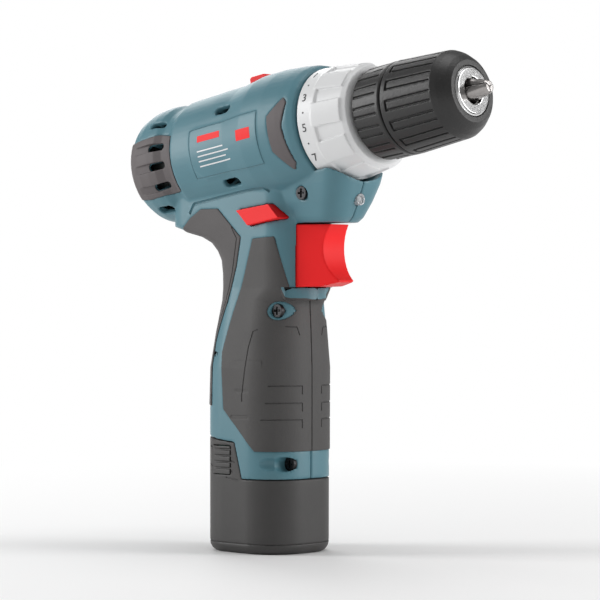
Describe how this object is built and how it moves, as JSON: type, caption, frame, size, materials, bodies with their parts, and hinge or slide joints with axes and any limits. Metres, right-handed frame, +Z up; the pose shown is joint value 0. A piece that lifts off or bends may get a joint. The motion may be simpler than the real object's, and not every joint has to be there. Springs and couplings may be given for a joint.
{
  "type": "cordless drill",
  "caption": "Compact pistol-grip cordless drill driver with a numbered clutch ring, a keyless chuck, a red trigger and a slide-in battery.",
  "frame": {"origin": "centre of the battery foot's flat underside", "axes": "+X the way the chuck points, level; +Y the tool's left; +Z up. The barrel rises 8.2 degrees towards the chuck."},
  "size_m": [0.1805, 0.0539, 0.1958],
  "materials": {
    "teal": "moulded ABS with fine grain",
    "grip_rubber": "soft overmould",
    "backstrap_rubber": "textured overmould",
    "trim_grey": "soft overmould",
    "screw_steel": "blackened",
    "black_plastic": "moulded",
    "lamp_lens": "clear lens",
    "red_plastic": "moulded, satin",
    "spring_steel": "drawn wire",
    "can_steel": "zinc plated",
    "magnet": "sintered",
    "carbon": "pressed carbon",
    "bright_steel": "ground",
    "armature_iron": "laminations and enamelled wire",
    "copper": "turned copper",
    "gear_steel": "sintered steel",
    "case_nylon": "glass-filled nylon",
    "clutch_silver": "silver paint",
    "chuck_black": "moulded, grained",
    "nose_chrome": "bright turned",
    "contact_brass": "plated",
    "battery_black": "moulded, fine grain",
    "cell_wrap": "shrink sleeve",
    "release_black": "moulded",
    "jaw_steel": "ground"
  },
  "bodies": {
    "tool": {"right_housing": "teal", "left_housing": "teal", "right_grip": "grip_rubber", "left_grip": "grip_rubber", "right_backstrap": "backstrap_rubber", "left_backstrap": "backstrap_rubber", "right_vent_trim": "trim_grey", "left_vent_trim": "trim_grey", "nose_pads": "trim_grey", "housing_screws": "screw_steel", "switch_body": "black_plastic", "work_light": "lamp_lens", "motor_can": "can_steel", "motor_magnets": "magnet", "motor_end_cap": "black_plastic", "motor_brushes": "carbon", "motor_plate": "can_steel", "gear_case": "case_nylon", "ring_gear_1": "gear_steel", "ring_gear_3": "gear_steel", "spindle_bearing": "bright_steel", "contact_block": "contact_brass", "clutch_spring": "spring_steel"},
    "rotor": {"motor_shaft": "bright_steel", "armature": "armature_iron", "commutator": "copper", "cooling_fan": "black_plastic", "motor_pinion": "gear_steel"},
    "middle_stage": {"carrier_1": "gear_steel", "middle_planets": "gear_steel", "carrier_2": "gear_steel"},
    "shift_ring": {"ring_gear_2": "gear_steel"},
    "spindle": {"carrier_3": "gear_steel", "output_spindle": "bright_steel", "chuck_body": "bright_steel", "chuck_collar": "chuck_black", "chuck_nose_ring": "nose_chrome"},
    "sleeve": {"chuck_sleeve": "chuck_black", "jaw_nut": "gear_steel"},
    "trigger": {"trigger": "red_plastic"},
    "direction_selector": {"direction_selector": "red_plastic"},
    "speed_selector": {"speed_selector": "red_plastic", "shift_wire": "spring_steel"},
    "clutch_ring": {"clutch_ring": "clutch_silver"},
    "clutch_nut": {"clutch_nut": "case_nylon"},
    "battery": {"battery_case": "battery_black", "battery_foot": "battery_black", "battery_cells": "cell_wrap", "battery_terminals": "contact_brass"},
    "right_release": {"right_release": "release_black"},
    "left_release": {"left_release": "release_black"},
    "planet_1_1": {"planet_1_1": "gear_steel"},
    "planet_3_1": {"planet_3_1": "gear_steel"},
    "jaw_1": {"jaw_1": "jaw_steel"},
    "planet_1_2": {"planet_1_2": "gear_steel"},
    "planet_3_2": {"planet_3_2": "gear_steel"},
    "jaw_2": {"jaw_2": "jaw_steel"},
    "planet_1_3": {"planet_1_3": "gear_steel"},
    "planet_3_3": {"planet_3_3": "gear_steel"},
    "jaw_3": {"jaw_3": "jaw_steel"}
  },
  "joints": [
    {"name": "motor_spin", "type": "hinge", "parent": "tool", "child": "rotor", "pos_m": [0, 0, 0.1645], "axis": [0.9898, 0, 0.1426], "continuous": true},
    {"name": "middle_stage_spin", "type": "hinge", "parent": "tool", "child": "middle_stage", "pos_m": [0.0099, 0, 0.16593], "axis": [0.9898, 0, 0.1426], "continuous": true},
    {"name": "shift_ring_slide", "type": "slide", "parent": "middle_stage", "child": "shift_ring", "axis": [0.9898, 0, 0.1426], "range_m": [-0.004, 0]},
    {"name": "chuck_spin", "type": "hinge", "parent": "tool", "child": "spindle", "pos_m": [0.05939, 0, 0.17306], "axis": [0.9898, 0, 0.1426], "continuous": true},
    {"name": "planet_1_1_spin", "type": "hinge", "parent": "middle_stage", "child": "planet_1_1", "pos_m": [0.00376, 0, 0.17489], "axis": [0.9898, 0, 0.1426], "continuous": true},
    {"name": "planet_3_1_spin", "type": "hinge", "parent": "spindle", "child": "planet_3_1", "pos_m": [0.02236, 0, 0.17757], "axis": [0.9898, 0, 0.1426], "continuous": true},
    {"name": "planet_1_2_spin", "type": "hinge", "parent": "middle_stage", "child": "planet_1_2", "pos_m": [0.00584, -0.00844, 0.16042], "axis": [0.9898, 0, 0.1426], "continuous": true},
    {"name": "planet_3_2_spin", "type": "hinge", "parent": "spindle", "child": "planet_3_2", "pos_m": [0.02445, -0.00844, 0.1631], "axis": [0.9898, 0, 0.1426], "continuous": true},
    {"name": "planet_1_3_spin", "type": "hinge", "parent": "middle_stage", "child": "planet_1_3", "pos_m": [0.00584, 0.00844, 0.16042], "axis": [0.9898, 0, 0.1426], "continuous": true},
    {"name": "planet_3_3_spin", "type": "hinge", "parent": "spindle", "child": "planet_3_3", "pos_m": [0.02445, 0.00844, 0.1631], "axis": [0.9898, 0, 0.1426], "continuous": true},
    {"name": "sleeve_turn", "type": "hinge", "parent": "spindle", "child": "sleeve", "pos_m": [0.07918, 0, 0.17591], "axis": [0.9898, 0, 0.1426], "range_deg": [0, 4320]},
    {"name": "jaw_1_slide", "type": "slide", "parent": "spindle", "child": "jaw_1", "axis": [-0.9919, 0, 0.1271], "range_m": [0, 0.018]},
    {"name": "jaw_2_slide", "type": "slide", "parent": "spindle", "child": "jaw_2", "axis": [-0.9347, -0.2314, -0.2697], "range_m": [0, 0.018]},
    {"name": "jaw_3_slide", "type": "slide", "parent": "spindle", "child": "jaw_3", "axis": [-0.9347, 0.2314, -0.2697], "range_m": [0, 0.018]},
    {"name": "trigger_pull", "type": "slide", "parent": "tool", "child": "trigger", "axis": [-1, 0, 0], "range_m": [0, 0.006], "stiffness_N_per_m": 700, "springref_m": -0.004},
    {"name": "direction_slide", "type": "slide", "parent": "tool", "child": "direction_selector", "axis": [0, 1, 0], "range_m": [-0.003, 0.003]},
    {"name": "speed_slide", "type": "slide", "parent": "tool", "child": "speed_selector", "axis": [0.9898, 0, 0.1426], "range_m": [-0.004, 0]},
    {"name": "clutch_turn", "type": "hinge", "parent": "tool", "child": "clutch_ring", "pos_m": [0.04751, 0, 0.17135], "axis": [0.9898, 0, 0.1426], "range_deg": [0, 300]},
    {"name": "clutch_nut_slide", "type": "slide", "parent": "clutch_ring", "child": "clutch_nut", "axis": [-0.9898, 0, -0.1426], "range_m": [0, 0.003], "deforming": ["clutch_spring"]},
    {"name": "battery_slide", "type": "slide", "parent": "tool", "child": "battery", "axis": [0, 0, -1], "range_m": [0, 0.08]},
    {"name": "right_release_press", "type": "slide", "parent": "battery", "child": "right_release", "axis": [0, 1, 0], "range_m": [0, 0.001], "stiffness_N_per_m": 1500, "springref_m": -0.001},
    {"name": "left_release_press", "type": "slide", "parent": "battery", "child": "left_release", "axis": [0, -1, 0], "range_m": [0, 0.001], "stiffness_N_per_m": 1500, "springref_m": -0.001}
  ],
  "couplings": [
    {"joint": "middle_stage_spin", "follows": "motor_spin", "ratio": 0.25},
    {"joint": "chuck_spin", "follows": "motor_spin", "ratio": 0.0625},
    {"joint": "planet_1_1_spin", "follows": "motor_spin", "ratio": -0.75},
    {"joint": "planet_3_1_spin", "follows": "motor_spin", "ratio": -0.1875},
    {"joint": "jaw_1_slide", "follows": "sleeve_turn", "m_per_rad": 0.00023871},
    {"joint": "planet_1_2_spin", "follows": "motor_spin", "ratio": -0.75},
    {"joint": "planet_3_2_spin", "follows": "motor_spin", "ratio": -0.1875},
    {"joint": "jaw_2_slide", "follows": "sleeve_turn", "m_per_rad": 0.00023871},
    {"joint": "planet_1_3_spin", "follows": "motor_spin", "ratio": -0.75},
    {"joint": "planet_3_3_spin", "follows": "motor_spin", "ratio": -0.1875},
    {"joint": "jaw_3_slide", "follows": "sleeve_turn", "m_per_rad": 0.00023871},
    {"joint": "shift_ring_slide", "follows": "speed_slide", "ratio": 1},
    {"joint": "clutch_nut_slide", "follows": "clutch_turn", "m_per_rad": 0.0005729}
  ]
}
